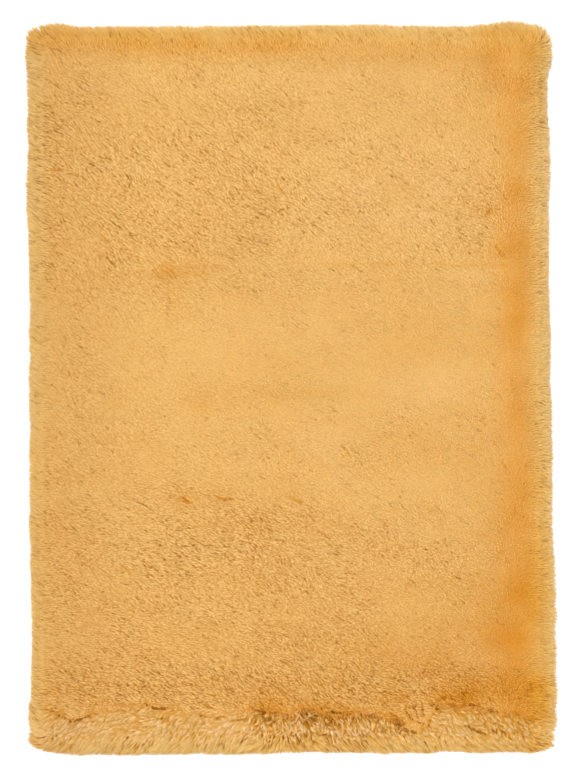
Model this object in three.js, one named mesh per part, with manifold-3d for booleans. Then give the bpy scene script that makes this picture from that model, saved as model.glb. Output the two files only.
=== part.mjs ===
// Plush area rug, lying flat: one panel of cloth whose deep, soft pile leans out past the cloth's edge.
// +X is the rug's width, +Y its length (away from the viewer) and +Z is up, with the underside on Z = 0.
// All sizes are in millimetres.
import * as THREE from "three";
import { mergeVertices } from "three/addons/utils/BufferGeometryUtils.js";
import Module from "manifold-3d";

// Driving dimensions
const CLOTH_WIDTH = 1200;
const CLOTH_LENGTH = 1700;
const CLOTH_CORNER = 25; // radius of the cut cloth's corners
const PILE_HEIGHT = 36; // from the floor to the tips, the cloth's own thickness included
const PILE_COLOUR = 0xe6ae61;

// The grid of the pile's top ends this far inside the cloth's edge, and the rim takes over from there.
const TOP_INSET = 15;
const TOP_CELLS_ACROSS = 34;
const TOP_CELLS_ALONG = 50;

// Section of the rim, from the top down: how far each ring stands past the cloth's edge, and its height
// as a share of the pile's height there.
const RIM_SECTION = [
  { past: 3, rise: 0.88 },
  { past: 15, rise: 0.66 },
  { past: 20, rise: 0.38 },
  { past: 12, rise: 0.08 },
];
const BELLY_PAST = 20; // the section's widest ring, where the uneven reach counts in full
// The pile sinks a little as it nears the rim.
const SHOULDER_DROP = 0.1;
const SHOULDER_REACH = 40;

// Locks of pile that part at the rim, each a four-sided taper whose root is fused into the rim.
const LOCK_PITCH = 20.3;
const LOCK_ROOT = { past: 6, halfWidth: 11.5, halfHeight: 9, rise: 0.42 };
const LOCK_TIP = { past: 28, sideways: 6, up: 4, lengthSpread: 3 };

// Long swells of the pile: crest direction in degrees, wavelength, height either way, and phase in radians.
const SWELLS = [
  { direction: 78, wavelength: 610, height: 1.4, phase: 0.4 },
  { direction: 12, wavelength: 430, height: 1.1, phase: 2.1 },
  { direction: 131, wavelength: 290, height: 1.0, phase: 4.4 },
  { direction: 52, wavelength: 187, height: 0.8, phase: 1.3 },
  { direction: 166, wavelength: 133, height: 0.7, phase: 5.2 },
];

// Partings, where the pile falls to both sides of a line: its two ends, half width and depth.
const PARTINGS = [
  { fromX: -590, fromY: -752, toX: -340, toY: -770, halfWidth: 34, depth: 5 },
  { fromX: -340, fromY: -770, toX: -60, toY: -782, halfWidth: 30, depth: 4 },
  { fromX: -60, fromY: -774, toX: 300, toY: -792, halfWidth: 30, depth: 9 },
  { fromX: 300, fromY: -748, toX: 575, toY: -742, halfWidth: 32, depth: 10 },
  { fromX: 552, fromY: 850, toX: 566, toY: 330, halfWidth: 30, depth: 6 },
  { fromX: 575, fromY: -200, toX: 560, toY: -740, halfWidth: 34, depth: 6 },
  { fromX: 140, fromY: 310, toX: 540, toY: 302, halfWidth: 26, depth: 3 },
  { fromX: -540, fromY: 838, toX: -120, toY: 842, halfWidth: 28, depth: 3 },
];

// Hollows left by a hand or a heel: centre, radius and depth.
const HOLLOWS = [
  { x: -262, y: 284, radius: 62, depth: 4 },
  { x: -252, y: -268, radius: 40, depth: 4 },
  { x: -160, y: -263, radius: 38, depth: 3 },
  { x: -205, y: -38, radius: 42, depth: 3 },
  { x: 0, y: -298, radius: 45, depth: 3 },
  { x: 470, y: 434, radius: 45, depth: 4 },
  { x: 495, y: 315, radius: 48, depth: 4 },
  { x: -400, y: -425, radius: 45, depth: 3 },
  { x: -570, y: 530, radius: 50, depth: 3 },
];

// How unevenly the pile stands out on each side: the place along the side, and the extra reach there.
const LEFT_REACH = [
  { along: -850, extra: 3 },
  { along: -630, extra: -5 },
  { along: -440, extra: -1 },
  { along: -150, extra: 3 },
  { along: 190, extra: 1 },
  { along: 480, extra: 9 },
  { along: 700, extra: 7 },
  { along: 820, extra: 12 },
  { along: 880, extra: 5 },
];
const RIGHT_REACH = [
  { along: -850, extra: 13 },
  { along: -510, extra: 15 },
  { along: -300, extra: 7 },
  { along: 50, extra: 1 },
  { along: 340, extra: -5 },
  { along: 560, extra: -1 },
  { along: 710, extra: -9 },
  { along: 810, extra: 4 },
  { along: 880, extra: -6 },
];
const BACK_REACH = [
  { along: -620, extra: 1 },
  { along: -570, extra: 6 },
  { along: -510, extra: -2 },
  { along: -180, extra: 0 },
  { along: 150, extra: 3 },
  { along: 410, extra: -1 },
  { along: 545, extra: 11 },
  { along: 620, extra: 2 },
];
const FRONT_REACH = [
  { along: -620, extra: -4 },
  { along: -510, extra: 6 },
  { along: -60, extra: 4 },
  { along: 60, extra: -1 },
  { along: 300, extra: 3 },
  { along: 450, extra: -3 },
  { along: 620, extra: 2 },
];

const HALF_WIDTH = CLOTH_WIDTH / 2;
const HALF_LENGTH = CLOTH_LENGTH / 2;
const DEGREES = Math.PI / 180;

// A bell that is 1 at the middle and near 0 at the given reach.
const bell = (distance, reach) => Math.exp(-4 * (distance / reach) ** 2);

function distanceToSegment(x, y, line) {
  const alongX = line.toX - line.fromX;
  const alongY = line.toY - line.fromY;
  const share = ((x - line.fromX) * alongX + (y - line.fromY) * alongY) / (alongX ** 2 + alongY ** 2);
  const held = THREE.MathUtils.clamp(share, 0, 1);
  return Math.hypot(x - line.fromX - held * alongX, y - line.fromY - held * alongY);
}

// How far inside the cloth's edge a place lies.
const insideBy = (x, y) => Math.min(HALF_WIDTH - Math.abs(x), HALF_LENGTH - Math.abs(y));

// The height of the pile's tips over the floor.
function pileHeight(x, y) {
  let height = PILE_HEIGHT;
  for (const swell of SWELLS) {
    const across = x * Math.cos(swell.direction * DEGREES) + y * Math.sin(swell.direction * DEGREES);
    height += swell.height * Math.sin((2 * Math.PI * across) / swell.wavelength + swell.phase);
  }
  for (const parting of PARTINGS) {
    height -= parting.depth * bell(distanceToSegment(x, y, parting), parting.halfWidth);
  }
  for (const hollow of HOLLOWS) {
    height -= hollow.depth * bell(Math.hypot(x - hollow.x, y - hollow.y), hollow.radius);
  }
  return height * (1 - SHOULDER_DROP * bell(Math.max(insideBy(x, y), 0), SHOULDER_REACH));
}

// Reads a table of reaches at a place along its side, easing from row to row.
function extraReach(table, along) {
  const next = table.findIndex((row) => row.along > along);
  if (next === 0) return table[0].extra;
  if (next < 0) return table[table.length - 1].extra;
  const from = table[next - 1];
  const to = table[next];
  const share = THREE.MathUtils.smoothstep(along, from.along, to.along);
  return THREE.MathUtils.lerp(from.extra, to.extra, share);
}

// The extra reach at a place on the rim, blended round the corners by the way that the rim faces there.
function reachAt(place) {
  const sideTable = place.normal.x > 0 ? RIGHT_REACH : LEFT_REACH;
  const endTable = place.normal.y > 0 ? BACK_REACH : FRONT_REACH;
  const side = extraReach(sideTable, place.y);
  const end = extraReach(endTable, place.x);
  return side * place.normal.x ** 2 + end * place.normal.y ** 2;
}

// Lines of the top's grid along one direction: one narrow cell at each end, and even cells between.
function gridLines(half, radius, cells) {
  const inner = half - radius;
  const lines = [-half];
  for (let i = 0; i <= cells; i++) lines.push(-inner + (2 * inner * i) / cells);
  lines.push(half);
  return lines;
}

// Moves a place in a corner square onto the round corner, so that a square grid fills the rounded outline.
function roundCorner(x, y, halfX, halfY, radius) {
  const overX = (Math.abs(x) - (halfX - radius)) / radius;
  const overY = (Math.abs(y) - (halfY - radius)) / radius;
  if (overX <= 0 || overY <= 0) return [x, y];
  return [
    Math.sign(x) * (halfX - radius + radius * overX * Math.sqrt(1 - overY ** 2 / 2)),
    Math.sign(y) * (halfY - radius + radius * overY * Math.sqrt(1 - overX ** 2 / 2)),
  ];
}

// The way that the outline faces at a place on it, or beyond it.
function outlineNormal(x, y, halfX, halfY, radius) {
  const overX = Math.max(Math.abs(x) - (halfX - radius), 0) * Math.sign(x);
  const overY = Math.max(Math.abs(y) - (halfY - radius), 0) * Math.sign(y);
  return new THREE.Vector2(overX, overY).normalize();
}

// The places round the cloth's edge, anticlockwise, each with the way that it faces.
function edgePlaces(topRing) {
  const radius = CLOTH_CORNER - TOP_INSET;
  return topRing.map(([x, y]) => {
    const normal = outlineNormal(x, y, HALF_WIDTH - TOP_INSET, HALF_LENGTH - TOP_INSET, radius);
    return { x: x + normal.x * TOP_INSET, y: y + normal.y * TOP_INSET, normal };
  });
}

// The panel without its locks: the uneven top, the rim's rings and the flat underside, as one closed mesh.
function slabGeometry() {
  const halfX = HALF_WIDTH - TOP_INSET;
  const halfY = HALF_LENGTH - TOP_INSET;
  const radius = CLOTH_CORNER - TOP_INSET;
  const linesX = gridLines(halfX, radius, TOP_CELLS_ACROSS);
  const linesY = gridLines(halfY, radius, TOP_CELLS_ALONG);
  const columns = linesX.length;
  const rows = linesY.length;
  const positions = [];
  const faces = [];

  for (const lineY of linesY) {
    for (const lineX of linesX) {
      const [x, y] = roundCorner(lineX, lineY, halfX, halfY, radius);
      positions.push(x, y, pileHeight(x, y));
    }
  }
  const at = (column, row) => row * columns + column;
  for (let row = 0; row < rows - 1; row++) {
    for (let column = 0; column < columns - 1; column++) {
      const corners = [at(column, row), at(column + 1, row), at(column + 1, row + 1), at(column, row + 1)];
      if ((row + column) % 2) corners.push(corners.shift());
      faces.push(corners[0], corners[1], corners[2], corners[0], corners[2], corners[3]);
    }
  }

  const ring = [];
  for (let column = 0; column < columns - 1; column++) ring.push(at(column, 0));
  for (let row = 0; row < rows - 1; row++) ring.push(at(columns - 1, row));
  for (let column = columns - 1; column > 0; column--) ring.push(at(column, rows - 1));
  for (let row = rows - 1; row > 0; row--) ring.push(at(0, row));
  const places = edgePlaces(ring.map((index) => [positions[3 * index], positions[3 * index + 1]]));

  let above = ring;
  for (const step of [...RIM_SECTION, { past: 0, rise: 0 }]) {
    const below = places.map((place) => {
      const past = step.past + (step.rise > 0 ? reachAt(place) * (step.past / BELLY_PAST) : 0);
      const height = pileHeight(place.x, place.y) * step.rise;
      positions.push(place.x + place.normal.x * past, place.y + place.normal.y * past, height);
      return positions.length / 3 - 1;
    });
    for (let i = 0; i < ring.length; i++) {
      const next = (i + 1) % ring.length;
      faces.push(above[i], below[i], below[next], above[i], below[next], above[next]);
    }
    above = below;
  }
  positions.push(0, 0, 0);
  const centre = positions.length / 3 - 1;
  for (let i = 0; i < ring.length; i++) faces.push(centre, above[(i + 1) % ring.length], above[i]);

  const geometry = new THREE.BufferGeometry();
  geometry.setAttribute("position", new THREE.Float32BufferAttribute(positions, 3));
  geometry.setIndex(faces);
  return geometry;
}

// Places round the cloth's edge at the locks' pitch.
function lockPlaces() {
  const outline = new THREE.Shape();
  const radius = CLOTH_CORNER;
  outline.moveTo(-HALF_WIDTH + radius, -HALF_LENGTH);
  outline.lineTo(HALF_WIDTH - radius, -HALF_LENGTH);
  outline.absarc(HALF_WIDTH - radius, -HALF_LENGTH + radius, radius, -Math.PI / 2, 0);
  outline.lineTo(HALF_WIDTH, HALF_LENGTH - radius);
  outline.absarc(HALF_WIDTH - radius, HALF_LENGTH - radius, radius, 0, Math.PI / 2);
  outline.lineTo(-HALF_WIDTH + radius, HALF_LENGTH);
  outline.absarc(-HALF_WIDTH + radius, HALF_LENGTH - radius, radius, Math.PI / 2, Math.PI);
  outline.lineTo(-HALF_WIDTH, -HALF_LENGTH + radius);
  outline.absarc(-HALF_WIDTH + radius, -HALF_LENGTH + radius, radius, Math.PI, 1.5 * Math.PI);
  const count = Math.round(outline.getLength() / LOCK_PITCH);
  return outline.getSpacedPoints(count).slice(0, count).map((point) => {
    const normal = outlineNormal(point.x, point.y, HALF_WIDTH, HALF_LENGTH, radius);
    return { x: point.x, y: point.y, normal };
  });
}

// A number from -1 to 1 that looks random but is the same each time.
function scatter(index, stream) {
  const wave = Math.sin(index * 12.9898 + stream * 78.233) * 43758.5453;
  return 2 * (wave - Math.floor(wave)) - 1;
}

// One lock: a diamond section at the root, tapering to a point past the rim.
function lockGeometry(place, index) {
  const outward = new THREE.Vector3(place.normal.x, place.normal.y, 0);
  const sideways = new THREE.Vector3(-place.normal.y, place.normal.x, 0);
  const upward = new THREE.Vector3(0, 0, 1);
  const height = pileHeight(place.x, place.y) * LOCK_ROOT.rise;
  const extra = reachAt(place);
  const edge = new THREE.Vector3(place.x, place.y, height);
  const root = edge.clone().addScaledVector(outward, LOCK_ROOT.past + extra / 2);
  const past = LOCK_TIP.past + extra + LOCK_TIP.lengthSpread * scatter(index, 1);
  const tip = edge.clone()
    .addScaledVector(outward, past)
    .addScaledVector(sideways, LOCK_TIP.sideways * scatter(index, 2))
    .addScaledVector(upward, LOCK_TIP.up * scatter(index, 3));
  const section = [
    root.clone().addScaledVector(sideways, LOCK_ROOT.halfWidth),
    root.clone().addScaledVector(upward, LOCK_ROOT.halfHeight),
    root.clone().addScaledVector(sideways, -LOCK_ROOT.halfWidth),
    root.clone().addScaledVector(upward, -LOCK_ROOT.halfHeight),
  ];
  const geometry = new THREE.BufferGeometry().setFromPoints([...section, tip]);
  geometry.setIndex([0, 1, 4, 1, 2, 4, 2, 3, 4, 3, 0, 4, 0, 2, 1, 0, 3, 2]);
  return geometry;
}

const wasm = await Module();
wasm.setup();

function solidFrom(geometry) {
  const merged = mergeVertices(geometry);
  return new wasm.Manifold(new wasm.Mesh({
    numProp: 3,
    vertProperties: new Float32Array(merged.attributes.position.array),
    triVerts: new Uint32Array(merged.index.array),
  }));
}

function geometryFrom(solid) {
  const mesh = solid.getMesh();
  const geometry = new THREE.BufferGeometry();
  geometry.setAttribute("position", new THREE.BufferAttribute(mesh.vertProperties, 3));
  geometry.setIndex(new THREE.BufferAttribute(mesh.triVerts, 1));
  geometry.computeVertexNormals();
  return geometry;
}

// The whole panel with its locks joined on, moved so that its own box stands on the origin.
function panelGeometry() {
  const locks = lockPlaces().map((place, index) => solidFrom(lockGeometry(place, index)));
  const panel = wasm.Manifold.union([solidFrom(slabGeometry()), ...locks]);
  const geometry = geometryFrom(panel);
  geometry.computeBoundingBox();
  const middle = geometry.boundingBox.getCenter(new THREE.Vector3());
  return geometry.translate(-middle.x, -middle.y, -geometry.boundingBox.min.z);
}

const plush = new THREE.MeshStandardMaterial({ color: PILE_COLOUR, roughness: 0.95, metalness: 0 });
const panel = new THREE.Mesh(panelGeometry(), plush);
panel.name = "plush_panel";

const rug = new THREE.Group();
rug.add(panel);

export default rug;
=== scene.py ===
"""A plush area rug laid flat, seen from straight above.

The backing cloth, the dense foot of the pile, and the tufts of the field, the front edge and the rim are
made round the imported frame. Everything is in metres, +Z up, and the rug's front is at -Y.
"""

import math

import bmesh
import bpy
import numpy as np
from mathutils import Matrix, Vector
from mathutils.bvhtree import BVHTree


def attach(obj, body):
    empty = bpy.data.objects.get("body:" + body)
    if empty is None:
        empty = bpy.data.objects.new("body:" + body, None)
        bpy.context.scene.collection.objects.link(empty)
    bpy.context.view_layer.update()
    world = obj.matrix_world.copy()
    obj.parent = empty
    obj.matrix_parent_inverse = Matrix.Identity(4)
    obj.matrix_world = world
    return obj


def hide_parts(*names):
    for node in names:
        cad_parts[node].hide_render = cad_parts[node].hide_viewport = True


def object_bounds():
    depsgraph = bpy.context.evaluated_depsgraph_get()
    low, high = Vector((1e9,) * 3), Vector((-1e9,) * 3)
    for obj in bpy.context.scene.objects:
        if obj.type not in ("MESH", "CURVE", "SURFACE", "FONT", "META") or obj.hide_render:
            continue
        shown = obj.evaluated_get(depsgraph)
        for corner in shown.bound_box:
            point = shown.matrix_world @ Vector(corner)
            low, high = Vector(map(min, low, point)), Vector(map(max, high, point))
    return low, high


bl_info = {
    "name": "Plush area rug",
    "version": (1, 0, 0),
    "blender": (4, 5, 0),
    "location": "3D View > Sidebar > Rug",
    "description": "Makes a deep plush rug: its backing cloth, its pile and a plain stage",
    "category": "Add Mesh",
}

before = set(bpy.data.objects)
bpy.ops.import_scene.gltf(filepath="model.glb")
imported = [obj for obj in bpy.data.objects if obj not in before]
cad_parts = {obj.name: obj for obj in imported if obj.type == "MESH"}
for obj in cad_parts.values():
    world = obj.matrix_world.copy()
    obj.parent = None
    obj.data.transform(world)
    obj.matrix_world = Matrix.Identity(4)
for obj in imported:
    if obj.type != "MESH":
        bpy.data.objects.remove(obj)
CAD_BOX = [list(corner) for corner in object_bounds()]

PANEL = "plush_panel"
BODY = "root"

IMAGE_WIDTH = 580
IMAGE_HEIGHT = 775
METRES_PER_PIXEL = 0.002419
RUG_CENTRE_PIXEL = (290.5, 389.3)


# Frame

def blended_cells(grid, row, column, up, across):
    """The value between four neighbours in a grid, by how far the place is up and across from the first."""
    low = grid[row, column] * (1 - across) + grid[row, column + 1] * across
    high = grid[row + 1, column] * (1 - across) + grid[row + 1, column + 1] * across
    return low * (1 - up) + high * up


def points_of(obj):
    """The object's vertices as rows of x, y and z."""
    flat = np.empty(len(obj.data.vertices) * 3, np.float32)
    obj.data.vertices.foreach_get("co", flat)
    return flat.reshape(-1, 3).astype(float)


PANEL_POINTS = points_of(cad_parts[PANEL])
# The solid's flat underside has the outline of the cut cloth.
CLOTH_POINTS = PANEL_POINTS[PANEL_POINTS[:, 2] < 1e-4, :2]
CLOTH_LOW = CLOTH_POINTS.min(axis=0)
CLOTH_HIGH = CLOTH_POINTS.max(axis=0)
CLOTH_CENTRE = (CLOTH_LOW + CLOTH_HIGH) / 2
CLOTH_HALF = (CLOTH_HIGH - CLOTH_LOW) / 2


class PanelSurface:
    """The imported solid's top and rim, read once by rays and then looked up anywhere."""

    STEP = 0.012
    ABOVE = 0.3
    BELLY_HEIGHT = 0.0135
    EVEN_OUT = 0.05
    INSET = 0.008
    USUAL_HEIGHT = 0.03

    def __init__(self):
        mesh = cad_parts[PANEL].data
        faces = [tuple(face.vertices) for face in mesh.polygons]
        self.tree = BVHTree.FromPolygons([v.co.copy() for v in mesh.vertices], faces)
        self.xs = np.arange(CLOTH_LOW[0], CLOTH_HIGH[0] + self.STEP, self.STEP)
        self.ys = np.arange(CLOTH_LOW[1], CLOTH_HIGH[1] + self.STEP, self.STEP)
        self.tops = np.array([[self.height_under(x, y) for x in self.xs] for y in self.ys])
        self.right = self.reaches(self.ys, 0, 1)
        self.left = self.reaches(self.ys, 0, -1)
        self.back = self.reaches(self.xs, 1, 1)
        self.front = self.reaches(self.xs, 1, -1)

    def height_under(self, x, y):
        """The solid's height at a place, which is moved inside the cloth's edge first."""
        x = min(max(x, CLOTH_LOW[0] + self.INSET), CLOTH_HIGH[0] - self.INSET)
        y = min(max(y, CLOTH_LOW[1] + self.INSET), CLOTH_HIGH[1] - self.INSET)
        hit = self.tree.ray_cast(Vector((x, y, self.ABOVE)), Vector((0, 0, -1)))[0]
        return hit.z if hit else self.USUAL_HEIGHT

    def reaches(self, places, axis, sign):
        """How far the rim stands past the cloth's edge along one side, evened out over the locks."""
        edge = CLOTH_HIGH[axis] if sign > 0 else -CLOTH_LOW[axis]
        found = []
        for place in places:
            start = Vector((0, 0, self.BELLY_HEIGHT))
            start[axis] = sign
            start[1 - axis] = place
            way = Vector((0, 0, 0))
            way[axis] = -sign
            hit = self.tree.ray_cast(start, way)[0]
            found.append(sign * hit[axis] - edge if hit else 0.0)
        window = np.ones(round(self.EVEN_OUT / self.STEP))
        window /= window.sum()
        padded = np.pad(found, len(window) // 2, mode="edge")
        return np.convolve(padded, window, mode="same")[len(window) // 2:][:len(places)]

    def top(self, x, y):
        """The height of the pile's top over each place."""
        column = np.clip((x - self.xs[0]) / self.STEP, 0, len(self.xs) - 1.001)
        row = np.clip((y - self.ys[0]) / self.STEP, 0, len(self.ys) - 1.001)
        c = column.astype(int)
        r = row.astype(int)
        return blended_cells(self.tops, r, c, row - r, column - c)

    def reach(self, x, y, out_x, out_y):
        """How far the rim stands past the cloth's edge, blended round the corners by the way it faces."""
        side = np.where(out_x > 0, np.interp(y, self.ys, self.right), np.interp(y, self.ys, self.left))
        end = np.where(out_y > 0, np.interp(x, self.xs, self.back), np.interp(x, self.xs, self.front))
        return side * out_x**2 + end * out_y**2


SURFACE = PanelSurface()


# Patterns that look random and are the same each time

def smoothstep(value, low, high):
    """From 0 at the low value to 1 at the high one, with soft ends."""
    share = np.clip((value - low) / (high - low), 0, 1)
    return share * share * (3 - 2 * share)


def drift(x, y, wavelength, seed):
    """Smooth unevenness from about -1 to 1, whose patches are about a wavelength across."""
    span = 2.4
    count = int(span / wavelength) + 3
    lattice = np.random.default_rng(seed).uniform(-1, 1, (count, count))
    column = (x + span / 2) / wavelength
    row = (y + span / 2) / wavelength
    c = column.astype(int)
    r = row.astype(int)
    return blended_cells(lattice, r, c, smoothstep(row - r, 0, 1), smoothstep(column - c, 0, 1))


def scattered(low_x, high_x, low_y, high_y, spacing, seed):
    """Places on a grid of the given spacing, each moved at random inside its own cell."""
    columns = max(round((high_x - low_x) / spacing), 1)
    rows = max(round((high_y - low_y) / spacing), 1)
    grid_x, grid_y = np.meshgrid(np.arange(columns), np.arange(rows))
    random = np.random.default_rng(seed)
    x = low_x + (grid_x + random.uniform(0, 1, grid_x.shape)) * (high_x - low_x) / columns
    y = low_y + (grid_y + random.uniform(0, 1, grid_y.shape)) * (high_y - low_y) / rows
    return x.ravel(), y.ravel()


def clumps(x, y, pitch, seed, angle, stretch):
    """The clump that each place belongs to, of clumps that are longer along the given angle: its middle, its
    own number from 0 to 1, how far inside it the place is from 0 at its border, and how far to its left."""
    span = 2.8
    count = int(span / pitch) + 5
    random = np.random.default_rng(seed)
    jitter = random.uniform(0, 1, (count, count, 2))
    numbers = random.uniform(0, 1, (count, count))
    column = ((x + span / 2) / pitch).astype(int)
    row = ((y + span / 2) / pitch).astype(int)
    cosine = np.cos(angle)
    sine = np.sin(angle)
    nearest = np.full(x.shape, np.inf)
    second = np.full(x.shape, np.inf)
    found = {key: np.zeros(x.shape) for key in ("x", "y", "number", "side")}
    for r, c in ((row + i, column + j) for i in range(-2, 3) for j in range(-2, 3)):
        at_x = (c + jitter[r, c, 0]) * pitch - span / 2
        at_y = (r + jitter[r, c, 1]) * pitch - span / 2
        along = ((x - at_x) * cosine + (y - at_y) * sine) / stretch
        across = ((y - at_y) * cosine - (x - at_x) * sine) * stretch
        distance = np.hypot(along, across)
        closer = distance < nearest
        second = np.where(closer, nearest, np.minimum(second, distance))
        nearest = np.where(closer, distance, nearest)
        for key, value in {"x": at_x, "y": at_y, "number": numbers[r, c], "side": across / pitch}.items():
            found[key] = np.where(closer, value, found[key])
    found["inside"] = (second - nearest) / pitch
    return found


# Marks: where the pile parts, with painted shade in the partings, and where its colour is deeper or paler

def columns(names, *rows):
    """A table's rows of numbers as its columns by name."""
    return dict(zip(names.split(), zip(*rows)))


# Short partings: the x and y of both ends in pixels of the photograph, and how deep each is, which sets its
# painted shade.
PARTINGS = [
    (41, 708.5, 50, 709.5, 0.9), (50, 709, 64, 717.5, 1.5), (63, 717.5, 71, 721.5, 1.9),
    (71, 722, 88, 716, 1.6), (144, 703, 147, 704.5, 1.7), (150, 706.5, 165, 708.5, 1.8),
    (172, 710, 175, 711, 1.0), (155, 719, 169, 721, 0.9), (199, 715, 206, 717, 1.0),
    (119, 730.5, 133, 732, 0.9), (171, 742.5, 174, 744.5, 1.0), (206, 705.5, 211, 706.5, 1.0),
    (216, 718.5, 226, 717, 1.3), (231, 721, 248, 718.5, 1.1), (252, 709, 262, 711, 1.4),
    (262, 711.5, 277, 714.5, 2.0), (261, 713, 265, 721, 1.9), (268, 718, 275, 724, 1.4),
    (282, 716, 288, 721, 1.4), (256, 726, 264, 724, 1.0), (289, 737.5, 295, 736, 1.3),
    (311, 739, 322, 746, 1.5), (315, 716, 319, 714.5, 1.6), (320, 707.5, 326, 706, 1.5),
    (328, 724, 337, 718, 1.6), (336, 718, 346, 717, 1.5), (331, 711, 344, 713, 1.5),
    (344, 713.5, 351, 711.5, 2.0), (345, 725, 350, 726, 1.1), (357, 720, 358, 731, 1.2),
    (361, 715, 381, 719, 2.0), (364, 735, 370, 737, 1.3), (373, 731, 377, 734, 1.3),
    (390, 714, 396, 716, 1.3), (394, 718, 400, 723, 2.0), (399, 724, 406, 729, 1.8),
    (406, 730, 416, 733, 2.0), (417, 721.5, 423, 722.5, 2.0), (409, 706, 416, 704, 1.5),
    (403, 697.5, 407, 696.5, 1.5), (404, 709, 413, 721, 1.4), (413, 706, 418, 718, 1.2),
    (421, 704, 422, 716, 1.3), (431, 701, 433, 707, 1.9), (434, 707, 440, 710, 2.0),
    (434, 711, 430, 727, 1.2), (441, 697, 445, 696, 1.7), (446, 703, 458, 708, 1.3),
    (469, 704.5, 480, 705.5, 1.4), (482, 707.5, 497, 711.5, 1.5), (465, 726, 473, 729.5, 1.7),
    (472, 729.5, 483, 732.5, 1.8), (483, 732, 487, 735, 1.3), (492, 731, 497, 733, 1.3),
    (502, 731.5, 508, 734.5, 2.0), (539, 735, 542, 740, 1.0), (344, 447, 349, 456, 1.1),
    (341, 457, 345, 454, 0.8), (182, 498, 190, 502, 1.3), (218, 497.5, 230, 498.5, 1.1),
    (290, 498, 301, 502, 1.0), (484, 216, 489, 209, 1.4), (496, 246, 503, 256, 1.4),
    (478, 420, 484, 416, 0.9), (501, 461, 506, 468, 1.1), (121, 564, 129, 570, 1.0),
    (50, 169.5, 60, 170.5, 0.9), (101, 235, 108, 241, 0.9), (277, 184, 282, 193, 1.1),
    (338.5, 187, 342, 193, 1.1), (320, 263, 510, 265, 0.3),
]

# Soft patches: the middle's x and y, the half widths across and along, and how much deeper the pile's colour
# is there, or paler when it is less than zero.
PATCHES = [
    # The first five patches, along the right side, are painted shade where the pile stands up.
    (0.548, 0.470, 0.030, 0.170, 0.52), (0.545, 0.790, 0.075, 0.095, 0.52),
    (0.553, 0.170, 0.034, 0.110, 0.34), (0.550, -0.050, 0.032, 0.120, 0.26),
    (0.570, -0.430, 0.058, 0.190, 0.52), (0.500, -0.620, 0.150, 0.100, 0.30),
    (0.640, -0.800, 0.060, 0.080, 0.55), (0.600, -0.730, 0.060, 0.040, -0.16),
    (0.190, -0.640, 0.200, 0.060, 0.16), (-0.230, -0.610, 0.100, 0.045, 0.16),
    (-0.040, -0.725, 0.080, 0.030, 0.22), (0.550, 0.000, 0.100, 0.600, 0.08),
    (-0.620, -0.450, 0.025, 0.240, 0.20), (-0.620, 0.300, 0.025, 0.500, 0.08),
    (0.000, 0.866, 0.600, 0.014, 0.12), (0.500, -0.722, 0.090, 0.034, 0.42),
    (0.400, -0.744, 0.060, 0.018, 0.46), (0.225, -0.745, 0.060, 0.020, 0.30),
    (0.262, -0.802, 0.032, 0.016, 0.55), (0.140, -0.780, 0.050, 0.014, 0.30),
    (0.050, -0.768, 0.060, 0.018, 0.26), (-0.045, -0.772, 0.036, 0.016, 0.46),
    (0.020, -0.722, 0.320, 0.034, 0.10), (-0.530, -0.738, 0.080, 0.024, 0.14),
    (-0.330, -0.645, 0.040, 0.014, 0.24), (-0.340, -0.752, 0.080, 0.018, 0.10),
    (-0.305, 0.286, 0.024, 0.013, 0.36), (-0.236, 0.287, 0.032, 0.013, 0.32),
    (-0.279, 0.225, 0.024, 0.050, 0.16), (-0.206, -0.036, 0.028, 0.016, 0.24),
    (-0.436, -0.038, 0.032, 0.014, 0.18), (-0.255, -0.266, 0.024, 0.016, 0.28),
    (-0.158, -0.262, 0.022, 0.014, 0.20), (0.012, -0.268, 0.034, 0.018, 0.16),
    (-0.130, -0.330, 0.120, 0.020, 0.12), (0.475, 0.431, 0.024, 0.022, 0.26),
    (0.505, 0.332, 0.034, 0.020, 0.26), (0.000, 0.627, 0.050, 0.020, 0.12),
    (0.300, 0.298, 0.240, 0.010, 0.10), (-0.300, 0.838, 0.300, 0.030, 0.44),
    (0.300, 0.838, 0.240, 0.030, 0.28), (0.340, 0.000, 0.110, 0.044, -0.26),
    (0.410, 0.450, 0.070, 0.110, -0.20), (0.200, 0.500, 0.200, 0.130, -0.26),
    (-0.600, 0.880, 0.200, 0.030, 0.25), (0.420, 0.276, 0.045, 0.012, -0.24),
    (0.030, -0.120, 0.090, 0.040, -0.12), (0.020, 0.745, 0.280, 0.060, -0.10),
    (-0.200, 0.140, 0.300, 0.060, -0.08), (-0.150, -0.815, 0.050, 0.018, -0.25),
    (0.150, -0.828, 0.050, 0.014, -0.35), (0.030, -0.824, 0.080, 0.012, -0.42),
    (-0.558, -0.822, 0.040, 0.014, -0.25), (0.450, -0.866, 0.200, 0.020, -0.10),
    (-0.100, 0.555, 0.450, 0.040, -0.10), (0.410, -0.824, 0.120, 0.020, -0.42),
    (-0.500, -0.830, 0.120, 0.020, -0.15),
]

# How tousled the pile is beyond the usual, in soft patches like those above.
TOUSLED = [
    (-0.450, 0.480, 0.220, 0.130, 0.28), (0.020, 0.480, 0.260, 0.140, 0.18),
    (-0.120, -0.370, 0.300, 0.075, 0.45), (-0.100, -0.580, 0.350, 0.120, 0.18),
    (0.000, -0.720, 0.600, 0.050, 0.50), (0.100, 0.090, 0.420, 0.110, -0.30),
    (0.250, 0.760, 0.300, 0.080, -0.12), (0.560, 0.100, 0.060, 0.900, -0.15),
    (0.470, 0.430, 0.050, 0.060, 0.35), (0.330, -0.250, 0.170, 0.120, -0.20),
    (0.560, -0.620, 0.090, 0.120, -0.30),
]


def patches(x, y, rows):
    """The sum of soft patches at each place."""
    total = np.zeros(x.shape)
    for middle_x, middle_y, across, along, amount in rows:
        off = ((x - middle_x) / across) ** 2 + ((y - middle_y) / along) ** 2
        total += amount * np.exp(-0.5 * off)
    return total


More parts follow.
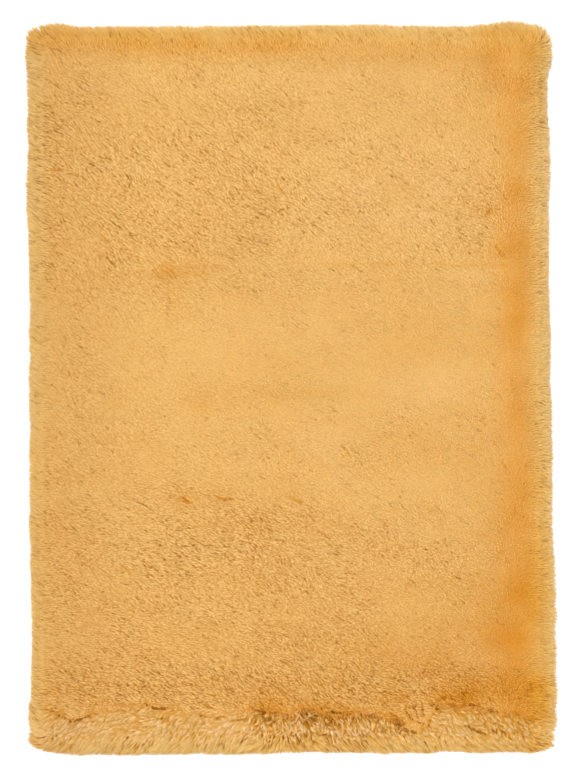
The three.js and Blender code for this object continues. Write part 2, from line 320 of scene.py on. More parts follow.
def colour_depth(x, y):
    """How much deeper than usual the pile's colour is, or paler when it is less than zero, with painted shade
    along the right side.
    """
    bands = 0.07 * drift(0.22 * x, y, 0.035, 41) + 0.05 * drift(0.4 * x, y, 0.12, 42)
    uneven = 1 + 0.35 * drift(x, y, 0.06, 46)
    return patches(x, y, PATCHES) * uneven + bands + 0.04 * drift(x, y, 0.03, 43)


def roughness_of_nap(x, y):
    """From 0 where the pile is combed smooth to 1 where it is tousled."""
    rough = 0.38 + 0.10 * drift(x, y, 0.21, 44) + 0.16 * drift(0.6 * x, y, 0.05, 45)
    return np.clip(rough + patches(x, y, TOUSLED), 0, 1)


# Nap: the way that the pile leans

# The line along which the front pile parts from the field, from left to right: its place, how softly the nap
# turns over there, the way that the pile in front of it falls, and how wildly.
FRONT_LINE = columns(
    "x y soft turn wild",
    (-0.642, -0.756, 0.014, 205, 0.35), (-0.594, -0.768, 0.010, 208, 0.35),
    (-0.533, -0.800, 0.006, 215, 0.45), (-0.490, -0.786, 0.008, 205, 0.40),
    (-0.425, -0.772, 0.014, 208, 0.35), (-0.352, -0.762, 0.008, 205, 0.40),
    (-0.304, -0.770, 0.010, 200, 0.40), (-0.243, -0.782, 0.014, 205, 0.40),
    (-0.183, -0.790, 0.012, 200, 0.40), (-0.122, -0.780, 0.012, 205, 0.45),
    (-0.069, -0.773, 0.005, 215, 0.85), (-0.001, -0.788, 0.006, 280, 0.90),
    (0.035, -0.766, 0.008, 310, 1.00), (0.108, -0.794, 0.005, 320, 1.00),
    (0.156, -0.780, 0.010, 315, 0.90), (0.229, -0.796, 0.005, 320, 0.90),
    (0.265, -0.810, 0.006, 320, 0.85), (0.301, -0.822, 0.006, 315, 0.80),
    (0.333, -0.800, 0.010, 320, 0.60), (0.354, -0.760, 0.005, 300, 0.50),
    (0.410, -0.770, 0.007, 325, 0.45), (0.483, -0.776, 0.008, 325, 0.55),
    (0.543, -0.784, 0.012, 320, 0.55), (0.616, -0.800, 0.020, 315, 0.40),
)


def along_front(x, key):
    """One column of the front line at each place across the rug."""
    return np.interp(x, FRONT_LINE["x"], FRONT_LINE[key])


def share_of_front(x, y):
    """From 0 in the field to 1 in front of the parting line."""
    line = along_front(x, "y") + 0.004 * drift(x, y, 0.02, 22)
    soft = along_front(x, "soft")
    return smoothstep(line - y, -soft, soft)


def hardness_of_line(x):
    """From 0 where the nap turns over softly at the parting line to 1 where it breaks open."""
    return smoothstep(-along_front(x, "soft"), -0.019, -0.007)


def foot_height(x, y, sizes):
    """The height of the pile's packed foot, which is lower in front, where the pile falls open."""
    return SURFACE.top(x, y) * sizes.foot_share * (1 - 0.18 * share_of_front(x, y))


class Nap:
    """The lean of the pile at each place, as a share of a tuft's length, and what goes with it."""

    FIELD_ANGLE = math.radians(145)

    def __init__(self, x, y):
        self.x = x
        self.y = y
        self.from_left = x - CLOTH_LOW[0]
        self.from_right = CLOTH_HIGH[0] - x
        self.from_front = y - CLOTH_LOW[1]
        self.from_back = CLOTH_HIGH[1] - y
        self.outward = self.outward_way()
        self.edge_share = self.share_of_edge()
        self.front_share = share_of_front(x, y)
        self.rough = roughness_of_nap(x, y)
        self.angle, self.amount = self.inside_lean()

    def lean(self, twist):
        """The lean as an offset, with every tuft turned by a twist of its own away from the edges."""
        edge = self.edge_share[:, None]
        angle = self.angle + twist
        inside = self.amount[:, None] * np.stack([np.cos(angle), np.sin(angle)], axis=1)
        return inside * (1 - edge) + 0.95 * self.outward * edge

    def field_angle(self):
        """Up and to the left, with its drifts."""
        angle = np.full(self.x.shape, self.FIELD_ANGLE)
        for degrees, wavelength, seed in ((7, 0.31, 11), (10, 0.09, 12), (10, 0.035, 13), (10, 0.010, 19)):
            angle += math.radians(degrees) * drift(self.x, self.y, wavelength, seed)
        return angle

    def front_angle(self):
        """The tousled fall of the long pile in front of the parting line."""
        wild = along_front(self.x, "wild")
        angle = np.radians(along_front(self.x, "turn"))
        angle += wild * math.radians(45) * drift(self.x, self.y, 0.055, 16)
        angle += (0.35 + 0.70 * wild) * drift(self.x, self.y, 0.024, 17)
        angle += (0.50 + 0.60 * wild) * drift(self.x, self.y, 0.011, 20)
        return angle

    def inside_lean(self):
        """The direction of the lean away from the edges, and how far it goes as a share of a tuft's length.
        It turns round by the left at the parting line, and by the back near the right side."""
        front = self.front_share
        wander = 0.028 * drift(self.x, self.y, 0.11, 21)
        turning = smoothstep(wander - self.from_right, -0.120, 0.010) * (1 - front)
        angle = self.field_angle() * (1 - front) + self.front_angle() * front
        angle *= 1 - turning
        amount = 0.66 + 0.06 * drift(self.x, self.y, 0.24, 14) + 0.06 * drift(self.x, self.y, 0.07, 15)
        amount += front * (0.06 + 0.14 * drift(self.x, self.y, 0.04, 18))
        amount *= 1 - 0.35 * np.sin(math.pi * turning)
        amount *= 1 - 0.35 * (1 - self.rough) * (1 - front)
        amount *= 1 - 0.85 * np.sin(math.pi * front) * hardness_of_line(self.x)
        return angle, amount

    def outward_way(self):
        """The way to the nearest edge, turning smoothly at the corners."""
        soft = 0.02
        to_side = np.minimum(self.from_left, self.from_right)
        to_end = np.minimum(self.from_front, self.from_back)
        side = np.exp(-np.maximum(to_side, 0) / soft) * np.sign(self.x - CLOTH_CENTRE[0])
        end = np.exp(-np.maximum(to_end, 0) / soft) * np.sign(self.y - CLOTH_CENTRE[1])
        way = np.stack([side, end], axis=1)
        return way / np.maximum(np.linalg.norm(way, axis=1, keepdims=True), 1e-12)

    def share_of_edge(self):
        """From 0 inside to 1 at the cloth's edge: how far the pile follows the edge."""
        left = smoothstep(-self.from_left, -0.045, 0.0)
        back = smoothstep(-self.from_back, -0.045, 0.0)
        right = smoothstep(-self.from_right, -0.040, 0.0)
        front = 0.35 * smoothstep(-self.from_front, -0.020, 0.0)
        return np.maximum.reduce([left, back, right, front])


def from_pixel(place):
    """Where a pixel of the photograph is on the rug."""
    return (np.array(place) - RUG_CENTRE_PIXEL) * (METRES_PER_PIXEL, -METRES_PER_PIXEL)


def part_the_pile(seen_x, seen_y, tip, random):
    """Pushes the tips apart along the short partings, and says how deep each tuft lies in one, for its
    painted shade, and how much light its upper lip catches, for a painted highlight."""
    deep = np.zeros(seen_x.shape)
    lip = np.zeros(seen_x.shape)
    uneven = random.uniform(0.6, 1.1, seen_x.shape)
    for start_x, start_y, end_x, end_y, depth in PARTINGS:
        start = from_pixel((start_x, start_y))
        end = from_pixel((end_x, end_y))
        half = np.linalg.norm(end - start) / 2
        along = (end - start) / (2 * half)
        across = np.array([-along[1], along[0]])
        off = np.stack([seen_x, seen_y], axis=1) - (start + end) / 2
        near = np.flatnonzero(np.hypot(*off.T) < half + 0.02)
        side = off[near] @ across + 0.0018 * drift(seen_x[near], seen_y[near], 0.011, 23)
        past_end = np.maximum(np.abs(off[near] @ along) - half, 0)
        fade = np.exp(-((past_end / 0.003) ** 2))
        push = 0.0014 * min(depth, 1.5) * np.tanh(side / 0.001) * fade * np.exp(-((side / 0.006) ** 2))
        tip[near, :2] += push[:, None] * across
        inner = depth * fade * uneven[near]
        deep[near] = np.maximum(deep[near], inner * np.exp(-((side / 0.0027) ** 2)))
        lip[near] = np.maximum(lip[near], inner * np.exp(-(((side - 0.0045) / 0.002) ** 2)))
    return deep, lip


# Meshes

def put_in_order(items, place_of):
    """Orders a bmesh's points or faces by place, since extruding leaves them in a new order each time."""
    ranks = {place: rank for rank, place in enumerate(sorted(place_of(item) for item in items))}
    items.sort(key=lambda item: ranks[place_of(item)])


def mesh_from_bmesh(name, shape):
    """Ends a bmesh as a mesh that is the same each time."""
    put_in_order(shape.verts, lambda vert: vert.co[:])
    put_in_order(shape.faces, lambda face: face.calc_center_median()[:])
    mesh = bpy.data.meshes.new(name)
    shape.to_mesh(mesh)
    shape.free()
    return mesh


def set_values(mesh, **columns_by_name):
    """Gives each of the mesh's points its value of each attribute."""
    for name, values in columns_by_name.items():
        layer = mesh.attributes.new(name, "FLOAT", "POINT")
        layer.data.foreach_set("value", values.astype(np.float32).ravel())


def placed(name, mesh, material):
    """An object at the origin that rides on the rug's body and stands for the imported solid."""
    obj = bpy.data.objects.new(name, mesh)
    bpy.context.scene.collection.objects.link(obj)
    mesh.materials.append(material)
    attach(obj, BODY)
    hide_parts(PANEL)
    return obj


def tuft_pattern():
    """One tuft as a closed three-sided taper: x and y are its section, and z is the share of its length."""
    shape = bmesh.new()
    bmesh.ops.create_cone(
        shape, cap_ends=True, cap_tris=False, segments=3, radius1=1, radius2=0, depth=1
    )
    bmesh.ops.translate(shape, verts=shape.verts, vec=(0, 0, 0.5))
    bmesh.ops.triangulate(shape, faces=shape.faces)
    points = np.array([vert.co[:] for vert in shape.verts])
    faces = np.array([[vert.index for vert in face.verts] for face in shape.faces])
    shape.free()
    return points, faces


def cell_map(points, faces):
    """Where each corner of a tuft's faces lies in its cell of the map: across, and root to tip upwards."""
    places = np.empty((len(faces), 3, 2))
    for index, face in enumerate(faces):
        rises = points[face, 2]
        if np.ptp(rises) == 0:
            places[index] = [(0.15, 0.06), (0.85, 0.06), (0.5, 0.2)]
            continue
        across = np.full(3, 0.5)
        across[np.flatnonzero(rises == rises.min())] = [0.12, 0.88]
        places[index, :, 0] = across
        places[index, :, 1] = 0.08 + 0.84 * rises
    return places


class Tufts:
    """Many tufts, as rows of their roots, tips, widths, thicknesses and spins, what colours them, and the way
    that the pile as a whole faces there, which its fibres take their light from."""

    ROUNDNESS = 1.0
    # Painted shade: how much deeper the undersides of the tufts are drawn.
    UNDERSIDE_SHADE = 1.2

    def __init__(self, **rows):
        self.rows = rows

    def kept(self, chosen):
        """Only the chosen tufts."""
        return Tufts(**{key: row[chosen] for key, row in self.rows.items()})

    def mesh(self, name):
        """All the tufts as one joined mesh, each a copy of the pattern."""
        points, faces = tuft_pattern()
        rows = self.rows
        count = len(rows["root"])
        rise = points[:, 2][None, :]
        root = rows["root"][:, None, :]
        axis = rows["tip"] - rows["root"]
        centre = root + rise[:, :, None] * axis[:, None, :]
        axis = axis / np.linalg.norm(axis, axis=1, keepdims=True)
        across = np.cross(np.array([0.0, 0.0, 1.0]), axis)
        length = np.linalg.norm(across, axis=1, keepdims=True)
        across = np.where(length > 1e-4, across / np.maximum(length, 1e-9), np.array([1.0, 0.0, 0.0]))
        over = np.cross(axis, across)
        cosine = np.cos(rows["spin"])[:, None]
        sine = np.sin(rows["spin"])[:, None]
        section_x = (points[None, :, 0] * cosine - points[None, :, 1] * sine) * rows["width"][:, None]
        section_y = (points[None, :, 0] * sine + points[None, :, 1] * cosine) * rows["thickness"][:, None]
        aside = section_x[:, :, None] * across[:, None, :] + section_y[:, :, None] * over[:, None, :]
        place = centre + aside
        round_way = aside / np.maximum(np.linalg.norm(aside, axis=2, keepdims=True), 1e-6)
        # Painted shade on the undersides of the tufts.
        underside_shade = self.UNDERSIDE_SHADE * np.maximum(-round_way[:, :, 2], 0)
        normals = rows["facing"][:, None, :] + self.ROUNDNESS * round_way * (1.0, 1.0, 0.5)
        normals /= np.linalg.norm(normals, axis=2, keepdims=True)

        mesh = bpy.data.meshes.new(name)
        corners = (faces[None] + (np.arange(count) * len(points))[:, None, None]).reshape(-1)
        mesh.vertices.add(count * len(points))
        mesh.vertices.foreach_set("co", place.astype(np.float32).ravel())
        mesh.loops.add(len(corners))
        mesh.loops.foreach_set("vertex_index", corners.astype(np.int32))
        mesh.polygons.add(len(corners) // 3)
        mesh.polygons.foreach_set("loop_start", np.arange(0, len(corners), 3, dtype=np.int32))
        mesh.update(calc_edges=True)
        mesh.shade_smooth()
        mesh.normals_split_custom_set_from_vertices(normals.reshape(-1, 3))
        self.lay_map(mesh, points, faces, count)
        # Painted shade: the colour darkens towards the root unless root_rise lifts it, and depth grows
        # towards the root and on the undersides.
        set_values(
            mesh,
            rise=rise + rows["root_rise"][:, None] * (1 - rise),
            tone=np.repeat(rows["tone"][:, None], len(points), axis=1),
            depth=rows["depth"][:, None] + rows["painted_root_shade"][:, None] * (1 - rise) + underside_shade,
        )
        return mesh

    @staticmethod
    def lay_map(mesh, points, faces, count):
        """Lays each tuft in a cell of its own, so that its colours can be held in a picture."""
        cells = math.ceil(math.sqrt(count))
        places = cell_map(points, faces)[None]
        index = np.arange(count)
        corner = np.stack([index % cells, index // cells], axis=1)[:, None, None, :]
        layer = mesh.uv_layers.new(name="OFBake")
        layer.uv.foreach_set("vector", ((corner + places) / cells).astype(np.float32).ravel())


# Materials

class Socket:
    """A shader socket that can be added to, taken from, multiplied and mixed like a number."""

    def __init__(self, tree, socket):
        self.tree = tree
        self.socket = socket

    def math(self, operation, first, second):
        made = self.tree.nodes.new("ShaderNodeMath")
        made.operation = operation
        for place, value in zip(made.inputs, (first, second)):
            connect(self.tree, place, value)
        return Socket(self.tree, made.outputs[0])

    def __add__(self, other):
        return self.math("ADD", self, other)

    def __radd__(self, other):
        return self.math("ADD", other, self)

    def __sub__(self, other):
        return self.math("SUBTRACT", self, other)

    def __rsub__(self, other):
        return self.math("SUBTRACT", other, self)

    def __mul__(self, other):
        return self.math("MULTIPLY", self, other)

    def __rmul__(self, other):
        return self.math("MULTIPLY", other, self)


def connect(tree, place, value):
    """Links a socket to an input, or sets the input to a number, vector or colour."""
    if isinstance(value, Socket):
        tree.links.new(value.socket, place)
    else:
        place.default_value = value


def node(tree, kind, settings=None, output=0, **inputs):
    """Makes a node: its settings first, then its inputs by name (spaces as underscores), then one output."""
    made = tree.nodes.new(kind)
    for name, value in (settings or {}).items():
        if name == "stops":
            ramp = made.color_ramp
            while len(ramp.elements) > 1:
                ramp.elements.remove(ramp.elements[-1])
            ramp.elements[0].position = value[0][0]
            ramp.elements[0].color = value[0][1]
            for position, colour in value[1:]:
                ramp.elements.new(position).color = colour
        else:
            setattr(made, name, value)
    for name, value in inputs.items():
        label = name.replace("_", " ")
        enabled = [place for place in made.inputs if place.name == label and place.enabled]
        connect(tree, enabled[0], value)
    return Socket(tree, made.outputs[output])


def rgba(colour):
    return (*colour[:3], 1.0)


def new_material(name):
    material = bpy.data.materials.new(name)
    material.use_nodes = True
    tree = material.node_tree
    tree.nodes.clear()
    return material, tree


def finish_material(tree, colour, roughness, normal=None):
    """Ends the tree in the one shader."""
    shader = tree.nodes.new("ShaderNodeBsdfPrincipled")
    connect(tree, shader.inputs["Base Color"], colour)
    shader.inputs["Roughness"].default_value = roughness
    shader.inputs["Specular IOR Level"].default_value = 0.15
    if normal is not None:
        connect(tree, shader.inputs["Normal"], normal)
    output = tree.nodes.new("ShaderNodeOutputMaterial")
    tree.links.new(shader.outputs[0], output.inputs["Surface"])


def blended(tree, kind, factor, first, second):
    """Mixes two colours."""
    settings = {"data_type": "RGBA", "blend_type": kind}
    return node(tree, "ShaderNodeMix", settings, "Result", Factor=factor, A=first, B=second)


def object_place(tree):
    """The place on the object, in metres."""
    return node(tree, "ShaderNodeTexCoord", None, "Object")


def ramp(tree, value, *stops):
    """A colour by a value, from stops of a position and a colour."""
    settings = {"stops": [(position, rgba(colour)) for position, colour in stops]}
    return node(tree, "ShaderNodeValToRGB", settings, "Color", Fac=value)


def attribute(tree, name):
    """One of the mesh's own attributes."""
    return node(tree, "ShaderNodeAttribute", {"attribute_name": name}, "Fac")


def tinted(tree, colour, value, tints):
    """Lays tints over a colour, each from none to all of it between two values of a socket."""
    for low, high, kind, tint in tints:
        share = node(tree, "ShaderNodeMapRange", None, 0, Value=value, From_Min=low, From_Max=high)
        colour = blended(tree, kind, share, colour, rgba(tint))
    return colour


def duller_left(tree, colour, tint):
    """The duller light of the left side."""
    across = node(tree, "ShaderNodeSeparateXYZ", None, "X", Vector=object_place(tree))
    soft = {"interpolation_type": "SMOOTHSTEP"}
    left = node(tree, "ShaderNodeMapRange", soft, 0, Value=across, From_Min=-0.30, From_Max=-0.60)
    return blended(tree, "MULTIPLY", left, colour, rgba(tint))


def fibre_material(name, colours):
    """Pile fibre: deep at the root with painted shade, pale at the tip, darker or brighter from tuft to tuft
    at random and with painted light and shade, with a fine grain along the nap, deeper with painted shade in
    gaps and partings, and deeper or paler by its place."""
    material, tree = new_material(name)
    rise = attribute(tree, "rise")
    # Darker towards the root: painted shade deep in the pile.
    shade = ramp(tree, rise, (0.0, colours.root), (0.5, colours.middle), (1.0, colours.tip))
    depth = attribute(tree, "depth")
    along = node(
        tree, "ShaderNodeMapping", {"vector_type": "TEXTURE"}, "Vector",
        Vector=object_place(tree), Rotation=(0, 0, Nap.FIELD_ANGLE - math.pi), Scale=(2.4, 1, 1),
    )
    grain = node(tree, "ShaderNodeTexNoise", None, 0, Vector=along, Scale=460.0, Detail=0.0)
    tone = attribute(tree, "tone") + (grain - 0.5) * colours.grain
    # Pale places mix towards pale, and the palest towards frost, which is also the painted light of the rim's
    # outer fibres.
    shade = tinted(tree, shade, depth, ((0.0, -1.0, "MIX", colours.pale), (-0.5, -1.5, "MIX", colours.frost_and_rim_light)))
    # Random tone and painted light and shade on the clump sides darken or brighten a tuft; above 1, painted
    # shade in gaps.
    shade = tinted(
        tree, shade, tone,
        ((0.0, 1.0, "MULTIPLY", colours.tone_and_relief_shade_tint), (1.0, 2.0, "MULTIPLY", colours.gap_shade_tint)),
    )
    # Deeper colour patches, and painted shade in partings, at roots, on undersides and in gaps and valleys.
    shade = tinted(
        tree, shade, depth,
        ((0.0, 1.0, "MULTIPLY", colours.deep_colour_and_shade_tint), (1.0, 2.0, "MULTIPLY", colours.deepest_shade_tint)),
    )
    finish_material(tree, duller_left(tree, shade, colours.left_tint), 0.85)
    return material


def cloth_material(name, colours):
    """Plain woven backing: two sets of yarns crossing, raised where each passes over."""
    material, tree = new_material(name)
    pitch = 0.0022
    warp, weft = (
        node(
            tree, "ShaderNodeTexWave", {"wave_type": "BANDS", "bands_direction": way, "wave_profile": "SIN"},
            "Fac", Vector=object_place(tree), Scale=0.314 / pitch, Distortion=0.6, Detail=1.0,
        )
        for way in "XY"
    )
    yarns = warp * weft
    shade = ramp(tree, yarns, (0.0, colours.backing_gap), (0.6, colours.backing_yarn))
    bump = node(tree, "ShaderNodeBump", None, "Normal", Strength=0.5, Distance=0.0008, Height=yarns)
    finish_material(tree, shade, 0.9, bump)
    return material


# Sizes and colours that a user would change

def colour_property(label, description, value):
    return bpy.props.FloatVectorProperty(
        name=label, description=description, subtype="COLOR", size=3, min=0, max=1, default=value
    )


def length_property(label, description, value):
    return bpy.props.FloatProperty(name=label, description=description, unit="LENGTH", default=value)


class RugClothProperties(bpy.types.PropertyGroup):
    """The backing cloth."""

    thickness: length_property("Thickness", "Thickness of the backing cloth", 0.0025)
    corner: length_property("Corner radius", "Radius of the cut cloth's corners", 0.025)


class RugPileProperties(bpy.types.PropertyGroup):
    """The pile."""

    foot_share: bpy.props.FloatProperty(
        name="Foot share",
        description="Height of the packed foot of the pile, as a share of the pile's height",
        subtype="FACTOR",
        default=0.72,
    )
    field_spacing: length_property("Field spacing", "Distance between tufts in the field", 0.00345)
    field_width: length_property("Field tuft width", "Half width of a field tuft at its root", 0.0019)
    front_spacing: length_property("Front spacing", "Distance between locks at the front", 0.0023)
    front_width: length_property("Front lock width", "Half width of a front lock at its root", 0.0015)
    rim_spacing: length_property("Rim spacing", "Distance between tufts round the rim", 0.0024)
    rim_width: length_property("Rim tuft width", "Half width of a rim tuft at its root", 0.0019)


class RugColourProperties(bpy.types.PropertyGroup):
    """Colours of the pile and the backing."""

    tip: colour_property("Tip", "The brightest pile at its tips", (0.778, 0.532, 0.210))
    middle: colour_property("Middle", "The pile halfway up", (0.757, 0.488, 0.169))
    # Root: darker than the tip as painted shade deep in the pile.
    root: colour_property("Root", "The pile at its root", (0.560, 0.297, 0.078))
    # Darker tuft: random tone, and painted shade on the side of clumps away from the light.
    tone_and_relief_shade_tint: colour_property("Darker tuft", "What the darker tufts are multiplied by", (0.65, 0.56, 0.42))
    # Parting: deeper colour patches, and painted shade in partings, at roots and on undersides.
    deep_colour_and_shade_tint: colour_property("Parting", "What the deepest places are multiplied by", (0.85, 0.58, 0.09))
    # Deepest: painted shade in the deepest partings, gaps and valleys.
    deepest_shade_tint: colour_property("Deepest", "What the deepest marks are multiplied by", (0.34, 0.20, 0.03))
    # Mark: painted shade in the dark ticks and gaps between clumps.
    gap_shade_tint: colour_property("Mark", "What the darkest marks are multiplied by", (0.51, 0.38, 0.09))
    pale: colour_property("Pale", "Pale places", (0.860, 0.575, 0.290))
    # Frost: the palest strands, and painted light on the rim's outer fibres.
    frost_and_rim_light: colour_property("Frost", "The outermost pale fibres", (0.880, 0.660, 0.400))
    # Left side: painted shade, the duller light of the left side.
    left_tint: colour_property("Left side", "What the left side is multiplied by", (0.92, 0.89, 0.86))
    grain: bpy.props.FloatProperty(
        name="Grain", description="How much a tuft's colour varies along its own length", default=0.75
    )
    backing_yarn: colour_property("Backing yarn", "The backing's yarn", (0.62, 0.56, 0.45))
    backing_gap: colour_property("Backing gap", "Between the backing's yarns", (0.25, 0.21, 0.15))


class RugStageProperties(bpy.types.PropertyGroup):
    """The floor, the lights and the camera."""

    floor: colour_property("Floor", "Colour of the floor", (0.93, 0.93, 0.93))
    lens: bpy.props.FloatProperty(name="Lens", description="Focal length in millimetres", default=100.0)
    sky: bpy.props.FloatProperty(name="Sky", description="Strength of the light all round", default=1.06)
    key: bpy.props.FloatProperty(name="Key light", description="Strength of the soft main light", default=2.5)


# Operators

FIELD_TUFT_LENGTH = 0.0145
FRONT_LOCK_LENGTH = 0.0155
FRONT_BAND = 0.110
EDGE_INSET = 0.002
ROOT_SUNK = 0.002
# How far up its length a tuft is mostly seen, which gives it its colour.
SEEN_AT = 0.7


class RUG_OT_backing_cloth(bpy.types.Operator):
    """Makes the backing cloth: a thin flat sheet with round corners"""

    bl_idname = "rug.backing_cloth"
    bl_label = "Backing cloth"

    def execute(self, context):
        sizes = context.scene.rug_cloth
        shape = bmesh.new()
        bmesh.ops.create_grid(shape, x_segments=1, y_segments=1, size=1)
        bmesh.ops.scale(shape, verts=shape.verts, vec=(*CLOTH_HALF, 1))
        bmesh.ops.translate(shape, verts=shape.verts, vec=(*CLOTH_CENTRE, 0))
        bmesh.ops.bevel(
            shape, geom=shape.verts[:], offset=sizes.corner, affect="VERTICES",
            segments=6, profile=0.5, material=-1,
        )
        raised = bmesh.ops.extrude_face_region(shape, geom=shape.faces[:])
        top = [item for item in raised["geom"] if isinstance(item, bmesh.types.BMVert)]
        bmesh.ops.translate(shape, verts=top, vec=(0, 0, sizes.thickness))
        bmesh.ops.recalc_face_normals(shape, faces=shape.faces)
        mesh = mesh_from_bmesh("backing_cloth", shape)
        placed("backing_cloth", mesh, cloth_material("backing_weave", context.scene.rug_colours))
        return {"FINISHED"}


# Section of the pile's foot round the rim, from the top down: shares of the rim's reach and pile's height.
FOOT_SECTION = [
    (0.20, 0.62), (0.46, 0.44), (0.54, 0.25), (0.36, 0.08),
]
# Section of the rim's tufts, from the top down: where their roots and tips are, in the same shares.
RIM_SECTION = columns(
    "share root_reach root_rise reach rise",
    (0.0, 0.00, 0.70, 0.20, 0.92),
    (0.25, 0.20, 0.60, 0.65, 0.80),
    (0.5, 0.46, 0.42, 0.96, 0.58),
    (0.75, 0.50, 0.24, 1.00, 0.30),
    (1.0, 0.34, 0.07, 0.85, 0.04),
)


# Where the rim bulges or is drawn in: the x and y in pixels of the photograph, how many pixels it takes in
# along the edge, and how much farther the rim reaches there.
BULGES = [
    (29, 34, 10, 0.0080), (26, 56, 12, 0.0045), (517, 22, 12, 0.0065),
    (550, 45, 13, 0.0055), (547, 84, 9, -0.0030), (30, 727, 11, 0.0040),
    (38, 746, 11, 0.0080), (70, 753, 17, 0.0040), (557, 698, 16, 0.0055),
    (557, 724, 12, 0.0065), (550, 746, 10, 0.0090), (500, 752, 25, -0.0015),
    (547, 68, 7, -0.0035),
]


def rim_reach(x, y, out):
    """How far the rim's tips stand past the cloth's edge, fuller at the corners."""
    beyond = np.where(out[:, 0] > 0, 0.0162, 0.0147) * out[:, 0] ** 2
    beyond += np.where(out[:, 1] > 0, 0.0187, 0.0117) * out[:, 1] ** 2
    fuller = 1 + 0.34 * np.abs(2 * out[:, 0] * out[:, 1]) ** 1.5
    reach = (SURFACE.reach(x, y, out[:, 0], out[:, 1]) + beyond) * fuller
    outline = np.stack([x, y], axis=1) + out * reach[:, None]
    for at_x, at_y, along, more in BULGES:
        off = np.linalg.norm(outline - from_pixel((at_x, at_y)), axis=1) / (along * METRES_PER_PIXEL)
        reach = reach + more * np.exp(-(off**2))
    return reach + 0.0020 * drift(x, y, 0.035, 303) + 0.0015 * drift(x, y, 0.014, 304)


class RUG_OT_pile_foot(bpy.types.Operator):
    """Makes the dense foot of the pile, from which the tufts grow"""

    bl_idname = "rug.pile_foot"
    bl_label = "Pile foot"

    def execute(self, context):
        sizes = context.scene.rug_pile
        cloth = context.scene.rug_cloth
        cell = 0.010
        shape = bmesh.new()
        across, along = (round(2 * half / cell) for half in CLOTH_HALF)
        bmesh.ops.create_grid(shape, x_segments=across, y_segments=along, size=1)
        flat = np.array([vert.co[:2] for vert in shape.verts]) * CLOTH_HALF
        over = (np.abs(flat) - (CLOTH_HALF - cloth.corner)) / cloth.corner
        corner = (over > 0).all(axis=1)
        curved = over * np.sqrt(np.maximum(1 - over[:, ::-1] ** 2 / 2, 0))
        rounded = np.sign(flat) * (CLOTH_HALF - cloth.corner + cloth.corner * curved)
        flat = np.where(corner[:, None], rounded, flat) + CLOTH_CENTRE
        height = foot_height(flat[:, 0], flat[:, 1], sizes)
        height += 0.0012 * drift(flat[:, 0], flat[:, 1], 0.013, 31)
        for vert, place, rise in zip(shape.verts, flat, height):
            vert.co = (*place, rise)

        ring = [edge for edge in shape.edges if edge.is_boundary]
        for reach_share, rise_share in [*FOOT_SECTION, (0.0, 0.0)]:
            made = bmesh.ops.extrude_edge_only(shape, edges=ring)["geom"]
            ring = [item for item in made if isinstance(item, bmesh.types.BMEdge)]
            verts = [item for item in made if isinstance(item, bmesh.types.BMVert)]
            self.set_ring(verts, reach_share, rise_share, cloth)
        bmesh.ops.contextual_create(shape, geom=ring)
        bmesh.ops.recalc_face_normals(shape, faces=shape.faces)
        mesh = mesh_from_bmesh("pile_foot", shape)
        mesh.shade_smooth()
        obj = placed("pile_foot", mesh, fibre_material("pile_fibre", context.scene.rug_colours))
        x, y = points_of(obj)[:, :2].T
        rough = roughness_of_nap(x, y)
        front = share_of_front(x, y)
        # Painted shade: the foot is drawn with the darker root end of the ramp and a deeper tint, more where
        # the nap is rough and in the wild front, as the shade down between the tufts.
        set_values(
            mesh,
            rise=0.40 * (1 - rough) * (1 - front) + 0.25 * front,
            tone=np.full(x.shape, 0.6),
            depth=colour_depth(x, y) + 0.1 + 0.3 * rough * (1 - front) + 0.1 * front * along_front(x, "wild"),
        )
        return {"FINISHED"}

    @staticmethod
    def set_ring(verts, reach_share, rise_share, cloth):
        """Moves a new ring of the rim out from the cloth's edge and down to its height."""
        corner = cloth.corner
        for vert in verts:
            flat = np.array(vert.co[:2]) - CLOTH_CENTRE
            over = np.maximum(np.abs(flat) - (CLOTH_HALF - corner), 0) * np.sign(flat)
            out = over / max(np.linalg.norm(over), 1e-9)
            core = np.clip(flat, corner - CLOTH_HALF, CLOTH_HALF - corner)
            at = core + out * corner + CLOTH_CENTRE
            reach = rim_reach(at[:1], at[1:], out[None])[0]
            place = at + out * reach * reach_share
            height = SURFACE.top(place[:1], place[1:])[0] * rise_share
            vert.co = (*place, max(height, cloth.thickness))


def paleness_in_front(x, wild):
    """How pale the long pile in front of the parting line is, palest along the left half."""
    return 0.30 + 0.22 * wild + 0.20 * smoothstep(-x, 0.05, 0.15)


def opening_of(clump, rough):
    """From 0 to 1 at the border of the clumps between which the pile falls open, more of them where rough."""
    border = 1 - smoothstep(clump["inside"], 0.05, 0.36)
    return border * smoothstep(clump["number"], 1 - 0.70 * rough, 1.01 - 0.15 * rough)


